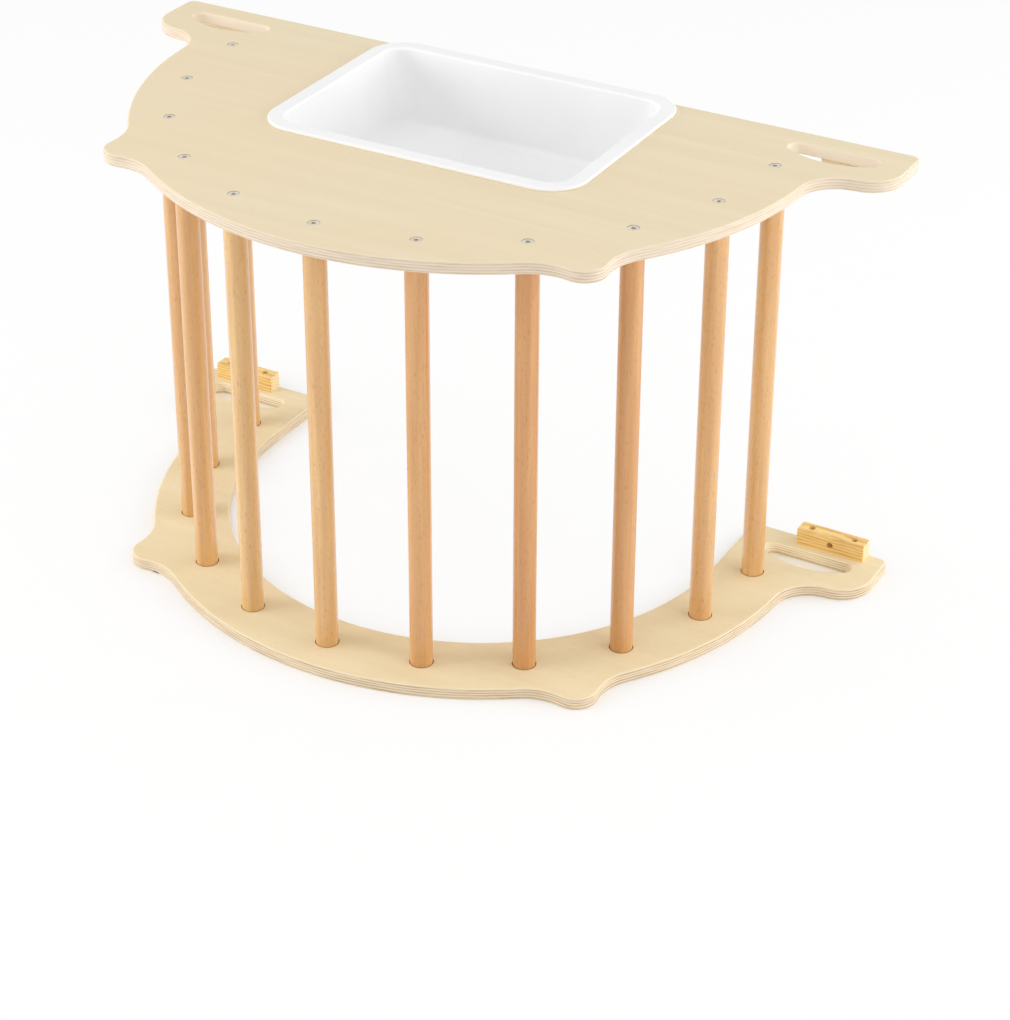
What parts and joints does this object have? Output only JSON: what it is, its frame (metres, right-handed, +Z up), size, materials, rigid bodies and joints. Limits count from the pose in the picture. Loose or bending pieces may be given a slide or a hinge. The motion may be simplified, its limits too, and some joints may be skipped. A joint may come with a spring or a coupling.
{
  "type": "climbing frame",
  "caption": "Wooden arch climbing frame stood on one side as a play table: plywood panels joined by dowel rungs, with a lift-out storage bin hung in a notch of the top.",
  "frame": {"origin": "on the floor, under the middle of the whole object's box", "axes": "+X along the straight edge, -Y towards the crown of the arch, +Z up as the table stands"},
  "size_m": [0.997, 0.538, 0.554],
  "materials": {
    "plywood": "clear matt lacquer on birch plywood",
    "rung_beech": "clear matt lacquer on beech",
    "block_pine": "clear matt lacquer on pine",
    "zinc_steel": "bright zinc plating",
    "insert_brass": "plain",
    "bin_plastic": "semi-gloss moulded"
  },
  "bodies": {
    "frame": {"arch_panel": "plywood", "table_panel": "plywood", "rung_01": "rung_beech", "rung_02": "rung_beech", "rung_03": "rung_beech", "rung_04": "rung_beech", "rung_05": "rung_beech", "rung_06": "rung_beech", "rung_07": "rung_beech", "rung_08": "rung_beech", "rung_09": "rung_beech", "rung_10": "rung_beech", "rung_11": "rung_beech", "lower_left_block": "block_pine", "lower_right_block": "block_pine", "upper_left_block": "block_pine", "upper_right_block": "block_pine", "lower_rung_bolts": "zinc_steel", "lower_rung_inserts": "insert_brass", "lower_block_screws": "zinc_steel", "upper_rung_bolts": "zinc_steel", "upper_rung_inserts": "insert_brass", "upper_block_screws": "zinc_steel"},
    "bin": {"storage_bin": "bin_plastic"}
  },
  "joints": [
    {"name": "bin_lift", "type": "slide", "parent": "frame", "child": "bin", "axis": [0, 0, 1], "range_m": [0, 0.12]}
  ]
}
